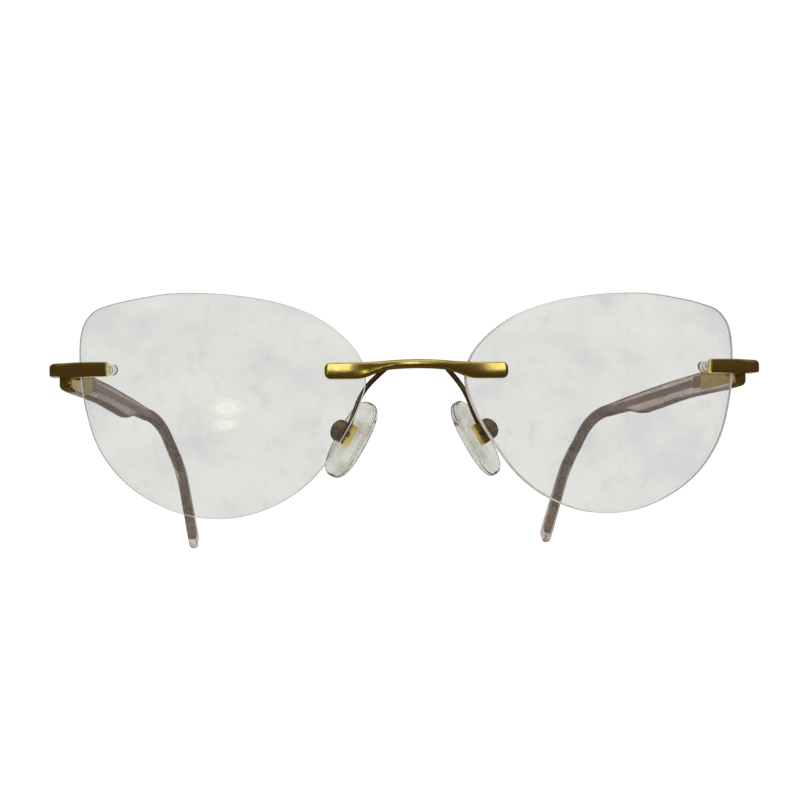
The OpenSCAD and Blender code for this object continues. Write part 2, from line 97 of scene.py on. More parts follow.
AXIS_IN = 1.35
TEMPLE_T = 2.3
CAP_START = 0.1
CAP_END = 3.8
SPINE_END = 17.15
SPINE_DEPTH = 0.62
SPINE_Z = (-1.62, 2.12)
BEND_START = (77, -0.36)
BEND_R = 18
SHAFT_SLOPE = math.radians(5)
EAR_DROP = math.radians(38)
EAR_LEN = 39.1
EAR_TURN = math.radians(14)
EAR_TURNS_Y = (76, 96)
SHAFT_HALF_H = 1.4
TIP_HALF_H = 2.3
SHAFT_TOP = [(0, 2.4), (16, 2.2), (34, 2.2), (54, 1.85), (66, 1.5), (77, 1.03)]
SHAFT_LOW = [(0, -2.4), (6, -2.55), (26, -2.3), (44, -2.95), (52, -3.1), (60, -1.9), (66, -1.7), (77, -1.76)]

PAD_PLACE = Vector((11.65, 9.0, -7.3))
PAD_LEAN = math.radians(29)
PAD_SPLAY = math.radians(38)
PAD_LEN = 15.4
PAD_W = 8.0
PAD_SQUARE = 0.75
ARM_D = 1.0
ARM_ROUTE = [
    (5.2, 1.42, 5.7), (5.7, 2.6, 5.35), (6.9, 4.2, 4.3), (8.3, 5.9, 2.9), (9.4, 7.1, 1.5),
    (10.4, 7.9, -0.4), (11.1, 8.05, -2.3),
]
ARM_END_IN_PAD = (2.1, 0, 2.51)

# ---------- Frames ----------


def turned_x(angle):
    return Matrix.Rotation(angle, 4, "X")


def turned_y(angle):
    return Matrix.Rotation(angle, 4, "Y")


def turned_z(angle):
    return Matrix.Rotation(angle, 4, "Z")


def standing_matrix():
    """From the lens frame, in millimetres, to where the glasses stand, in metres."""
    fold = next(j for j in frame["joints"] if j["name"] == "temple_left_fold")
    tilt = turned_x(PANTO + math.asin(-fold["axis"][1]))
    offset = Vector(fold["pos_m"]) / MM - tilt @ HINGE_PLACE
    return Matrix.Scale(MM, 4) @ Matrix.Translation(offset) @ tilt


STANDING = standing_matrix()


def on_side(side, local=Matrix.Identity(4)):
    """A frame made for the wearer's left, on the side that is asked for."""
    mirror = Matrix.Scale(-1, 4, (1, 0, 0)) if side == "right" else Matrix.Identity(4)
    return STANDING @ mirror @ local


LENS = Matrix.Translation((BRIDGE_GAP / 2, 0, 0)) @ turned_z(WRAP) @ Matrix.Translation((LENS_HALF_W, 0, 0))
TEMPLE = Matrix.Translation(HINGE_PLACE) @ turned_x(-PANTO) @ turned_z(TOE_IN)
PAD = Matrix.Translation(PAD_PLACE) @ turned_y(-PAD_LEAN) @ turned_z(-PAD_SPLAY)


def mount(u, v):
    """The frame of a mount on the front of the lens, +Y into the lens."""
    return LENS @ Matrix.Translation((u, sag(u, v), v)) @ turned_z(math.asin(u / BASE_CURVE))


def sag(u, v, depth=0.0):
    """How far the front surface, or the one that is deeper in the lens, lies behind the vertex."""
    radius = BASE_CURVE - depth
    return BASE_CURVE - math.sqrt(radius * radius - u * u - v * v)


# ---------- Curves ----------


def smooth_point(a, b, c, d, t):
    return tuple(
        0.5 * (2 * q + (r - p) * t + (2 * p - 5 * q + 4 * r - s) * t * t + (3 * q - p - 3 * r + s) * t ** 3)
        for p, q, r, s in zip(a, b, c, d)
    )


def closed_curve(points, steps):
    n = len(points)
    return [
        smooth_point(points[i - 1], points[i], points[(i + 1) % n], points[(i + 2) % n], k / steps)
        for i in range(n)
        for k in range(steps)
    ]


def open_curve(points, steps):
    n = len(points)
    curve = [
        smooth_point(points[max(i - 1, 0)], points[i], points[i + 1], points[min(i + 2, n - 1)], k / steps)
        for i in range(n - 1)
        for k in range(steps)
    ]
    return curve + [tuple(points[-1])]


def profile(points):
    """The smooth curve through the points as a function of its first coordinate."""
    curve = open_curve(points, 12)

    def height(x):
        for a, b in zip(curve, curve[1:]):
            if x <= b[0]:
                return a[1] + (b[1] - a[1]) * (x - a[0]) / (b[0] - a[0])
        return curve[-1][1]

    return height


def spaced(start, stop, step):
    count = max(1, round(abs(stop - start) / step))
    return [start + (stop - start) * k / count for k in range(count + 1)]


# ---------- Meshes ----------


def build(name, points, faces, place, materials, slots=None, sharp=38):
    """A closed mesh from points in a local frame, its faces turned outwards."""
    shape = bmesh.new()
    corners = [shape.verts.new(place @ Vector(p)) for p in points]
    for i, face in enumerate(faces):
        made = shape.faces.new([corners[k] for k in face])
        made.material_index = slots[i] if slots else 0
    bmesh.ops.recalc_face_normals(shape, faces=shape.faces)
    mesh = bpy.data.meshes.new(name)
    shape.to_mesh(mesh)
    shape.free()
    mesh.shade_smooth()
    mesh.set_sharp_from_angle(angle=math.radians(sharp))
    for material in materials:
        mesh.materials.append(material)
    piece = bpy.data.objects.new(name, mesh)
    bpy.context.scene.collection.objects.link(piece)
    return piece


def skin(rings):
    """Points and faces of a tube through rings of equally many points, closed at both ends."""
    n = len(rings[0])
    points = [p for ring in rings for p in ring]
    faces = [list(range(n))]
    for i in range(len(rings) - 1):
        for k in range(n):
            a = i * n + k
            b = i * n + (k + 1) % n
            faces.append([a, b, b + n, a + n])
    faces.append([(len(rings) - 1) * n + k for k in reversed(range(n))])
    return points, faces


def joined(shapes):
    """Several sets of points and faces as one."""
    points = []
    faces = []
    for more_points, more_faces in shapes:
        start = len(points)
        points += [tuple(p) for p in more_points]
        faces += [[k + start for k in face] for face in more_faces]
    return points, faces


def corner(centre, radius, start, steps=5):
    """A quarter circle of a section, anticlockwise from the start angle."""
    return [
        (
            centre[0] + radius * math.cos(math.radians(start + 90 * k / steps)),
            centre[1] + radius * math.sin(math.radians(start + 90 * k / steps)),
        )
        for k in range(steps + 1)
    ]


def section(depth, low, high, front, back, crown=0.0, top_front=None, steps=5):
    """A rounded section, depth from 0 at the front face and height from low to high.

    front, back and top_front are corner radii, and crown is how far the front face swells at its middle.
    """
    most = 0.499 * min(depth, high - low)
    front = min(front, most)
    back = min(back, most)
    top_front = min(front if top_front is None else top_front, most)
    outline = corner((depth - back, low + back), back, 270, steps)
    outline += corner((depth - back, high - back), back, 0, steps)
    outline += corner((top_front, high - top_front), top_front, 90, steps)
    face = [(0, high - top_front + (low + front - high + top_front) * k / 6) for k in range(1, 6)]
    outline += face + corner((front, low + front), front, 180, steps)
    middle = (low + high) / 2
    half = (high - low) / 2
    return [(d + crown * ((h - middle) / half) ** 2 * max(0, 1 - d / (depth * 0.6)), h) for d, h in outline]


def round_end(distance, radius):
    """How far a surface falls back at this distance from a rounded end."""
    if distance >= radius:
        return 0.0
    return radius - math.sqrt(radius * radius - (radius - distance) ** 2)


def tube(route, radius_at, sides=20):
    """A round wire along the route."""
    rings = []
    across = Vector((0.9, 0.3, 0.1))
    for i, point in enumerate(route):
        along = (Vector(route[min(i + 1, len(route) - 1)]) - Vector(route[max(i - 1, 0)])).normalized()
        across = (across - across.dot(along) * along).normalized()
        up = along.cross(across)
        radius = radius_at(i / (len(route) - 1))
        rings.append([
            Vector(point) + radius * (math.cos(a) * across + math.sin(a) * up)
            for a in (2 * math.pi * k / sides for k in range(sides))
        ])
    return skin(rings)


# ---------- Materials ----------


class Finish:
    """A procedural material with its own noise in millimetres."""

    def __init__(self, name):
        self.material = bpy.data.materials.new(name)
        self.material.use_nodes = True
        self.tree = self.material.node_tree
        self.shader = self.tree.nodes["Principled BSDF"]

    def set(self, **values):
        for key, value in values.items():
            self.shader.inputs[key.replace("_", " ")].default_value = value
        return self

    def noise(self, scale, detail=3.0, stretch=(1, 1, 1), rough=0.5):
        """Noise with this many waves in a millimetre, drawn out along the axes by stretch."""
        place = self.tree.nodes.new("ShaderNodeTexCoord")
        mapping = self.tree.nodes.new("ShaderNodeMapping")
        mapping.inputs["Scale"].default_value = [1 / (MM * s) for s in stretch]
        texture = self.tree.nodes.new("ShaderNodeTexNoise")
        texture.inputs["Scale"].default_value = scale
        texture.inputs["Detail"].default_value = detail
        texture.inputs["Roughness"].default_value = rough
        self.tree.links.new(place.outputs["Object"], mapping.inputs["Vector"])
        self.tree.links.new(mapping.outputs["Vector"], texture.inputs["Vector"])
        return texture.outputs["Fac"]

    def spread(self, value, low, high, source=(0.3, 0.7)):
        """Takes a value from its source range to low..high."""
        node = self.tree.nodes.new("ShaderNodeMapRange")
        node.inputs["From Min"].default_value = source[0]
        node.inputs["From Max"].default_value = source[1]
        node.inputs["To Min"].default_value = low
        node.inputs["To Max"].default_value = high
        self.tree.links.new(value, node.inputs["Value"])
        return node.outputs["Result"]

    def blend(self, value, colours, stops=None):
        """Colours laid along a value from 0 to 1."""
        node = self.tree.nodes.new("ShaderNodeValToRGB")
        ramp = node.color_ramp
        stops = stops or [k / (len(colours) - 1) for k in range(len(colours))]
        while len(ramp.elements) < len(colours):
            ramp.elements.new(0.5)
        for element, stop, colour in zip(ramp.elements, stops, colours):
            element.position = stop
            element.color = (*colour, 1)
        self.tree.links.new(value, node.inputs["Fac"])
        return node.outputs["Color"]

    def mix(self, factor, a, b, how="MIX"):
        node = self.tree.nodes.new("ShaderNodeMix")
        node.data_type = "RGBA"
        node.blend_type = how
        for socket, value in ((node.inputs[0], factor), (node.inputs[6], a), (node.inputs[7], b)):
            if isinstance(value, bpy.types.NodeSocket):
                self.tree.links.new(value, socket)
            else:
                socket.default_value = value if isinstance(value, float) else (*value, 1)
        return node.outputs[2]

    def ridge_wear_and_shade(self):
        """Pointiness of the mesh, high on sharp ridges and low in hollows: used for rubbed plating on the
        ridges and for painted shade in the hollows.
        """
        node = self.tree.nodes.new("ShaderNodeNewGeometry")
        return node.outputs["Pointiness"]

    def colour(self, socket):
        self.tree.links.new(socket, self.shader.inputs["Base Color"])
        return self

    def roughness(self, socket):
        self.tree.links.new(socket, self.shader.inputs["Roughness"])
        return self

    def bump(self, height, depth, strength=1.0):
        """Relief of this depth in millimetres."""
        node = self.tree.nodes.new("ShaderNodeBump")
        node.inputs["Strength"].default_value = strength
        node.inputs["Distance"].default_value = depth * MM
        self.tree.links.new(height, node.inputs["Height"])
        self.tree.links.new(node.outputs["Normal"], self.shader.inputs["Normal"])
        return self


def metal(name, dark, light, rough, brush=(6, 1, 1), relief=0.0015):
    """Plated metal, brushed along the longest stretch, darker and duller in patches."""
    finish = Finish(name).set(Metallic=1.0)
    patches = finish.noise(0.5, 4)
    tone = finish.blend(finish.spread(patches, 0, 1), [dark, light])
    # Paler towards the ridges from the mesh's pointiness: partly rubbed plating on the ridges, partly painted
    # shade that leaves the hollows darker.
    edges = finish.spread(finish.ridge_wear_and_shade(), 0.0, 0.3, (0.5, 0.6))
    paler_ridge_tone = tuple(min(1, 1.15 * c) for c in light)
    finish.colour(finish.mix(edges, tone, paler_ridge_tone))
    finish.roughness(finish.spread(patches, rough[1], rough[0]))
    return finish.bump(finish.noise(7, 2, brush), relief).material


def gold_metal():
    return metal("satin_gold", (0.64, 0.50, 0.135), (0.80, 0.67, 0.23), (0.15, 0.23))


def bronze_metal_darkened_for_shade():
    # Bronze plating, with its tone darkened to paint the shade that the pad arms lie in behind the bridge.
    return metal("bronze_darkened_for_shade", (0.12, 0.065, 0.03), (0.22, 0.13, 0.06), (0.26, 0.4), (1, 1, 5))


def steel_metal():
    return metal("dark_steel", (0.14, 0.125, 0.11), (0.30, 0.27, 0.24), (0.2, 0.38), (3, 3, 1))


def core_metal():
    return metal("drawn_core", (0.08, 0.06, 0.037), (0.16, 0.125, 0.082), (0.4, 0.55), (1, 9, 1))


def lens_plastic():
    """Clear lens with the faint mottle of handling on its surfaces."""
    finish = Finish("lens_plastic").set(Transmission_Weight=1.0, IOR=1.5)
    smears = finish.noise(0.1, 5, (1.3, 1, 1), 0.6)
    marks = finish.spread(finish.noise(0.3, 2, (1, 1, 1.3)), 0.0, 0.45, (0.6, 0.78))
    tones = [(0.655, 0.66, 0.65), (0.72, 0.72, 0.70), (0.765, 0.762, 0.735)]
    ground = finish.blend(finish.spread(smears, 0, 1, (0.35, 0.62)), tones, (0, 0.45, 1))
    finish.colour(finish.mix(marks, ground, (0.50, 0.505, 0.50)))
    finish.roughness(finish.spread(finish.noise(0.4, 6, (1, 1, 1), 0.7), 0.0, 0.03, (0.55, 0.8)))
    return finish.material


def lens_edge():
    """Ground edge of a lens, with the fine lines of the wheel."""
    finish = Finish("lens_ground_edge").set(Transmission_Weight=0.55, IOR=1.5)
    lines = finish.noise(3.0, 3, (1, 6, 1))
    finish.colour(finish.blend(finish.spread(lines, 0, 1), [(0.38, 0.38, 0.37), (0.62, 0.615, 0.60)]))
    finish.roughness(finish.spread(lines, 0.32, 0.5))
    return finish.bump(lines, 0.01).material


def clear_plastic():
    """Moulded sleeve, with flow marks."""
    finish = Finish("clear_sleeve").set(Transmission_Weight=0.95, IOR=1.52)
    flow = finish.noise(1.6, 4)
    finish.colour(finish.blend(finish.spread(flow, 0, 1), [(0.84, 0.83, 0.79), (0.95, 0.95, 0.93)]))
    finish.roughness(finish.spread(flow, 0.04, 0.2))
    return finish.bump(flow, 0.02).material


def silicone():
    """Soft clear pad, slightly yellowed and hazy."""
    finish = Finish("pad_silicone").set(Transmission_Weight=0.96, IOR=1.43)
    haze = finish.noise(0.24, 2)
    tones = [(0.46, 0.44, 0.35), (0.64, 0.635, 0.575), (0.76, 0.76, 0.72)]
    finish.colour(finish.blend(finish.spread(haze, 0, 1), tones, (0, 0.45, 1)))
    finish.roughness(finish.spread(haze, 0.14, 0.04))
    return finish.bump(finish.noise(0.7, 3), 0.012).material


def pad_plastic():
    """Stiff clear plate inside a pad, hardly denser than the silicone round it."""
    finish = Finish("pad_plate_plastic").set(Transmission_Weight=1.0, IOR=1.03)
    cloud = finish.noise(1.4, 4)
    finish.colour(finish.blend(finish.spread(cloud, 0, 1), [(0.90, 0.90, 0.88), (0.97, 0.97, 0.95)]))
    finish.roughness(finish.spread(cloud, 0.02, 0.12))
    return finish.material


def acetate():
    """Polished translucent acetate with drawn-out streaks of pink, beige and grey-brown."""
    finish = Finish("temple_acetate").set(Transmission_Weight=0.84, IOR=1.49)
    streaks = finish.noise(0.55, 4, (1, 18, 1), 0.5)
    tones = [(0.45, 0.365, 0.31), (0.60, 0.485, 0.425), (0.71, 0.58, 0.515), (0.84, 0.70, 0.625)]
    finish.colour(finish.blend(finish.spread(streaks, 0, 1), tones, (0, 0.35, 0.65, 1)))
    finish.roughness(finish.spread(finish.noise(0.25, 3), 0.16, 0.3))
    return finish.bump(finish.noise(0.35, 1, (1, 8, 1)), 0.003).material


def make_materials():
    """One finish of each kind, by name."""
    return {
        "gold": gold_metal(),
        "bronze": bronze_metal_darkened_for_shade(),
        "steel": steel_metal(),
        "core": core_metal(),
        "lens": lens_plastic(),
        "edge": lens_edge(),
        "sleeve": clear_plastic(),
        "silicone": silicone(),
        "pad_plate": pad_plastic(),
        "acetate": acetate(),
    }


# ---------- Lenses ----------


def inset(loop, distance):
    """The loop, moved inwards by the distance. The loop runs anticlockwise."""
    moved = []
    for i, point in enumerate(loop):
        before = Vector(loop[i - 1])
        after = Vector(loop[(i + 1) % len(loop)])
        along = (after - before).normalized()
        moved.append((point[0] - along.y * distance, point[1] + along.x * distance))
    return moved


def hole_loops(depth, sides=24):
    """Where the four mount holes meet the lens surface that lies this deep, as (u, v) loops."""
    centre = Vector((0, BASE_CURVE, 0))
    loops = []
    for u, v in (NASAL_MOUNT, TEMPORAL_MOUNT):
        frame_here = Matrix.Translation((u, sag(u, v), v)) @ turned_z(math.asin(u / BASE_CURVE))
        into = (frame_here.to_3x3() @ Vector((0, 1, 0))).normalized()
        for side in (-1, 1):
            loop = []
            for k in range(sides):
                angle = 2 * math.pi * k / sides
                x = side * PIN_PITCH / 2 + (SLEEVE_R + 0.02) * math.cos(angle)
                start = frame_here @ Vector((x, 0, (SLEEVE_R + 0.02) * math.sin(angle))) - centre
                reach = start.dot(into)
                gap = start.length_squared - (BASE_CURVE - depth) ** 2
                hit = start + into * (-reach - math.sqrt(reach * reach - gap))
                loop.append((hit.x, hit.z))
            loops.append(loop)
    return loops


def far_from(point, loop, distance):
    return all((point[0] - p[0]) ** 2 + (point[1] - p[1]) ** 2 > distance ** 2 for p in loop)


def inside(point, loop):
    x, y = point
    crossings = 0
    for a, b in zip(loop, loop[1:] + loop[:1]):
        if (a[1] > y) != (b[1] > y) and x < a[0] + (b[0] - a[0]) * (y - a[1]) / (b[1] - a[1]):
            crossings += 1
    return crossings % 2 == 1


def lens_face(outline, holes, depth):
    """Triangles over the outline without the holes. Also the places of the loops' points among them."""
    loops = [outline] + holes
    points = [p for loop in loops for p in loop]
    edges = []
    start = 0
    for loop in loops:
        edges += [(start + k, start + (k + 1) % len(loop)) for k in range(len(loop))]
        start += len(loop)
    ring = start
    step = 1.5
    for row in range(-15, 16):
        for column in range(-20, 21):
            spot = ((column + 0.5 * (row % 2)) * step, row * step * 0.9)
            if inside(spot, outline) and far_from(spot, points[:ring], 0.75):
                points.append(spot)
    made, _, faces, origins, _, _ = delaunay_2d_cdt([Vector(p) for p in points], edges, [], 4, 1e-6)
    where = {k: i for i, sources in enumerate(origins) for k in sources}
    places = [(p[0], sag(p[0], p[1], depth), p[1]) for p in made]
    kept = []
    for face in faces:
        middle = sum((Vector(made[k]) for k in face), Vector((0, 0))) / len(face)
        if not any(inside(middle, hole) for hole in holes):
            kept.append(list(face))
    return places, kept, [where[k] for k in range(ring)]


def bands(rings):
    """Faces that join rings of point numbers, one after another."""
    faces = []
    for a, b in zip(rings, rings[1:]):
        n = len(a)
        faces += [[a[k], a[(k + 1) % n], b[(k + 1) % n], b[k]] for k in range(n)]
    return faces


def lens(side, finish):
    """A lens with polished curved faces, ground edge, small edge bevels and drilled holes."""
    outline = closed_curve(LENS_OUTLINE, 10)
    inner = inset(outline, EDGE_BEVEL)
    n = len(outline)
    front, front_faces, front_ring = lens_face(inner, hole_loops(0), 0)
    back, back_faces, back_ring = lens_face(inner, hole_loops(LENS_T), LENS_T)
    points = front + back
    back_ring = [k + len(front) for k in back_ring]
    faces = front_faces + [[k + len(front) for k in f] for f in back_faces]
    polished = len(faces)
    front_edge = list(range(len(points), len(points) + n))
    points += [(u, sag(u, v) + EDGE_BEVEL, v) for u, v in outline]
    back_edge = list(range(len(points), len(points) + n))
    points += [(u, sag(u, v, LENS_T) - EDGE_BEVEL, v) for u, v in outline]
    faces += bands([front_ring[:n], front_edge, back_edge, back_ring[:n]])
    for start in range(n, len(front_ring), 24):
        faces += bands([front_ring[start:start + 24], back_ring[start:start + 24]])
    slots = [0] * polished + [1] * (len(faces) - polished)
    name = f"lens_{side}_ground"
    piece = build(name, points, faces, on_side(side, LENS), [finish["lens"], finish["edge"]], slots, 20)
    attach(piece, "front")
    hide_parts(f"lens_{side}")


# ---------- Bridge ----------


def pin_pair(place):
    """The two pins of a mount, from inside the metal through the lens and its sleeve."""
    shapes = []
    for side in (-1, 1):
        x = side * PIN_PITCH / 2
        ends = [(-0.5, 0.86), (-0.42, 1.0), (2.62, 1.0), (2.76, 0.86), (2.82, 0.6)]
        rings = [
            [
                (x + PIN_D / 2 * share * math.cos(a), y, PIN_D / 2 * share * math.sin(a))
                for a in (2 * math.pi * k / 20 for k in range(20))
            ]
            for y, share in ends
        ]
        points, faces = skin(rings)
        shapes.append(([place @ Vector(p) for p in points], faces))
    return joined(shapes)


def bridge(finish):
    """The bridge: a round bar at the middle that flattens into a paddle on each lens."""
    low = profile(BRIDGE_LOW)
    top = profile(BRIDGE_TOP)
    fore = profile(BRIDGE_FORE)
    aft = profile(BRIDGE_AFT)
    half = spaced(0, 15.6, 0.4) + [15.8, 16.0, 16.2, 16.36, 16.5, 16.6, 16.68, 16.74, 16.78, PADDLE_END]
    rings = []
    for x in [-x for x in reversed(half[1:])] + half:
        a = abs(x)
        left = PADDLE_END - a
        fall = round_end(left, PADDLE_CORNER) * 0.92
        slope = round_end(left, 0.55) * 0.8
        flat = min(1.0, max(0.0, (a - 4.5) / 6.0))
        flat = flat * flat * (3 - 2 * flat)
        front = 0.72 - 0.34 * flat
        back = 0.5 - 0.3 * flat
        crown = 0.05 + 0.09 * flat
        depth = aft(a) - fore(a) - slope - 0.3 * round_end(left, 0.2)
        ring = section(depth, low(a) + fall, top(a) - fall, front, back, crown, front + 0.1 * (1 - flat), 6)
        rings.append([(x, fore(a) + slope + d, z) for d, z in ring])
    piece = build("bridge_bar", *skin(rings), on_side("left"), [finish["gold"]])
    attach(piece, "front")
    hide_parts("bridge")
    for side in SIDES:
        pins = build(f"bridge_pins_{side}", *pin_pair(mount(*NASAL_MOUNT)), on_side(side), [finish["gold"]])
        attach(pins, "front")
        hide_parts("bridge")


# ---------- Endpieces ----------


def endpiece_stations():
    """Pairs of outer and inner points in plan, from the nasal end of the plate round to the hinge."""
    base = mount(*TEMPORAL_MOUNT)
    t = base.to_3x3() @ Vector((1, 0, 0))
    n = base.to_3x3() @ Vector((0, 1, 0))
    p = base.translation

    def on_plate(along):
        outer = p + along * t - (PLATE_T + SEAT_GAP) * n
        inner = p + along * t - SEAT_GAP * n
        return (outer.x, outer.y, inner.x, inner.y)

    plate = [on_plate(along) for along in (-2.3, -0.5, 1.3, 3.0)]
    around = [
        (62.1, 6.86, 61.15, 7.85), (63.2, 7.17, 61.42, 8.15), (64.6, 7.55, 61.5, 8.8),
        (65.9, 8.22, 61.65, 9.65), (66.72, 9.4, 62.4, 10.4), (66.93, 11.0, 63.36, 11.4),
        (66.9, 12.6, 63.4, 12.9), (66.78, 14.5, 63.4, 14.5),
    ]
    return plate + around


def endpiece(side, finish):
    """The endpiece: a plate on the lens that turns the corner and runs back to the hinge."""
    path = open_curve(endpiece_stations(), 6)
    travelled = [0.0]
    for a, b in zip(path, path[1:]):
        travelled.append(travelled[-1] + math.dist(a[:2], b[:2]))
    corner_at = travelled[6 * 6]
    to_temple = TEMPLE.inverted()
    stations = []
    for distance in (0.0, 0.04, 0.1, 0.18, 0.28, 0.4):
        share = distance / travelled[1]
        stations.append((tuple(p + (q - p) * share for p, q in zip(path[0], path[1])), distance))
    stations += [(s, d) for s, d in zip(path, travelled) if d > 0.5]
    rings = []
    for (ox, oy, ix, iy), distance in stations:
        outer = Vector((ox, oy, 0))
        into = Vector((ix - ox, iy - oy, 0))
        depth = into.length
        into.normalize()
        turned = min(1.0, max(0.0, (distance - corner_at + 3.0) / 4.0))
        bevel = round_end(distance, 0.22)
        fall = round_end(distance, 0.25)
        high = 7.12 + 0.08 * math.sin(math.pi * min(1.0, distance / corner_at))
        low = 4.46 + 0.1 * max(0.0, min(ox, 66.5) - 63)
        ring = section(
            depth - bevel * 0.85, low + fall, high - fall, 0.22, 0.16, 0.04, 0.24 + 0.5 * turned, 6
        )
        places = []
        for d, z in ring:
            place = outer + (d + bevel * 0.85) * into + Vector((0, 0, z))
            local = to_temple @ place
            if local.y > -0.07:
                local.y = -0.07
                place = TEMPLE @ local
            places.append(place)
        rings.append(places)
    rings = [r for i, r in enumerate(rings) if i == 0 or (r[0] - rings[i - 1][0]).length > 0.03]
    piece = build(f"endpiece_{side}_shell", *skin(rings), on_side(side), [finish["gold"]])
    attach(piece, "front")
    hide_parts(f"endpiece_{side}")
    pins = build(f"endpiece_pins_{side}", *pin_pair(mount(*TEMPORAL_MOUNT)), on_side(side), [finish["gold"]])
    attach(pins, "front")
    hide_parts(f"endpiece_{side}")


# ---------- Nose pads ----------


def pad_arm(side, finish):
    """The wire that carries a nose pad, swollen where it is brazed to the bridge."""
    end = PAD @ Vector(ARM_END_IN_PAD)
    route = open_curve(ARM_ROUTE + [tuple(end)], 8)

    def radius(share):
        swell = max(0.0, 1 - share / 0.09)
        foot = max(0.0, (share - 0.95) / 0.05)
        return ARM_D / 2 * (0.96 + 0.2 * swell * swell + 0.04 * foot)

    # The dark bronze tone of the wire is partly painted shade from behind the bridge.
    piece = build(f"pad_arm_{side}_wire", *tube(route, radius), on_side(side), [finish["bronze"]])
    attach(piece, "front")
    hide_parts(f"pad_arm_{side}")


# Across the pad from the middle of its outer face, round the rim and back over the face on the nose:
# the share of the oval's size, and the place along the pad's X axis
PAD_PROFILE = [
    (0.10, 0.46), (0.20, 0.46), (0.27, 0.47), (0.30, 0.55), (0.34, 0.57), (0.38, 0.50), (0.44, 0.46),
    (0.52, 0.46), (0.56, 0.50), (0.59, 0.60), (0.63, 0.62), (0.67, 0.60), (0.72, 0.64), (0.80, 0.65),
    (0.88, 0.65), (0.93, 0.62), (0.965, 0.54), (0.99, 0.38), (1.0, 0.15), (1.0, -0.15), (0.985, -0.38),
    (0.955, -0.56), (0.91, -0.69), (0.84, -0.80), (0.74, -0.93), (0.62, -1.08), (0.48, -1.22),
    (0.34, -1.32), (0.20, -1.375), (0.08, -1.398),
]


def pad(side, finish):
    """A nose pad: a crowned face towards the nose, a rounded rim and low rings moulded in its back."""
    around = 72
    rings = []
    for share, x in PAD_PROFILE:
        ring = []
        for k in range(around):
            angle = 2 * math.pi * k / around
            c = math.cos(angle)
            s = math.sin(angle)
            y = PAD_W / 2 * math.copysign(abs(c) ** PAD_SQUARE, c)
            z = PAD_LEN / 2 * math.copysign(abs(s) ** PAD_SQUARE, s)
            ring.append((x, y * share, z * share))
        rings.append(ring)
    piece = build(f"nose_pad_{side}_soft", *skin(rings), on_side(side, PAD), [finish["silicone"]], None, 60)
    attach(piece, f"pad_{side}")
    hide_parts(f"nose_pad_{side}")


# ---------- Temples ----------


def ear_turned(x, y):
    """Bends the temple inwards at the ear piece, and back to its old direction further along it."""
    ramp = 8.0
    heading = 0.0
    across = 0.0
    along = 0.0
    reached = EAR_TURNS_Y[0] - ramp / 2
    step = 0.5
    if y <= reached:
        return x, y
    start = reached
    while reached < y:
        stride = min(step, y - reached)
        middle = reached + stride / 2
        turned = min(1.0, max(0.0, (middle - EAR_TURNS_Y[0]) / ramp + 0.5))
        back = min(1.0, max(0.0, (middle - EAR_TURNS_Y[1]) / ramp + 0.5))
        heading = EAR_TURN * (turned - back)
        across -= stride * math.sin(heading)
        along += stride * math.cos(heading)
        reached += stride
    middle_x = AXIS_IN + TEMPLE_T / 2
    offset = x - middle_x
    return middle_x + across + offset * math.cos(heading), start + along + offset * math.sin(heading)


def temple_ring(top, low, side_round, thick=1.0, notch=0.0):
    """A section of the temple between two points of its side outline, with the notch for the spine."""
    height = math.dist(top, low)
    inner = AXIS_IN + TEMPLE_T * (1 - thick) / 2
    width = TEMPLE_T * thick
    radius = min(side_round, 0.49 * width, 0.49 * height)
    outline = corner((width - radius, radius), radius, 270)
    outline += corner((width - radius, height - radius), radius, 0)
    outline += corner((radius, height - radius), radius, 90)
    from_low = [min(max(z - low[1], radius * 1.05), height - radius * 1.05) for z in SPINE_Z]
    outline += [(0, from_low[1]), (notch, from_low[1]), (notch, from_low[0]), (0, from_low[0])]
    outline += corner((radius, radius), radius, 180)
    ring = []
    for across, up in outline:
        share = up / height
        y = low[0] + (top[0] - low[0]) * share
        z = low[1] + (top[1] - low[1]) * share
        x, y = ear_turned(inner + across, y)
        ring.append((x, y, z))
    return ring


def ear_stations():
    """Top and bottom points of the bend and the ear piece, and the share of the full thickness there."""
    centre = Vector(BEND_START) + BEND_R * Vector((-math.sin(SHAFT_SLOPE), -math.cos(SHAFT_SLOPE)))
    stations = []
    for k in range(13):
        angle = SHAFT_SLOPE + EAR_DROP * k / 12
        out = Vector((math.sin(angle), math.cos(angle)))
        stations.append((centre + (BEND_R + SHAFT_HALF_H) * out, centre + (BEND_R - SHAFT_HALF_H) * out, 1.0))
    angle = SHAFT_SLOPE + EAR_DROP
    along = Vector((math.cos(angle), -math.sin(angle)))
    up = Vector((math.sin(angle), math.cos(angle)))
    start = centre + BEND_R * up
    straight = EAR_LEN - TIP_HALF_H
    half = profile([(0, SHAFT_HALF_H), (straight - 22, SHAFT_HALF_H + 0.33), (straight, TIP_HALF_H)])
    for s in spaced(1.5, straight, 1.5):
        stations.append((start + s * along + half(s) * up, start + s * along - half(s) * up, 1.0))
    for k in range(1, 10):
        turn = math.pi / 2 * k / 9.4
        s = straight + TIP_HALF_H * math.sin(turn)
        reach = TIP_HALF_H * math.cos(turn)
        middle = start + s * along
        stations.append((middle + reach * up, middle - reach * up, max(0.12, math.cos(turn)) ** 0.7))
    return stations


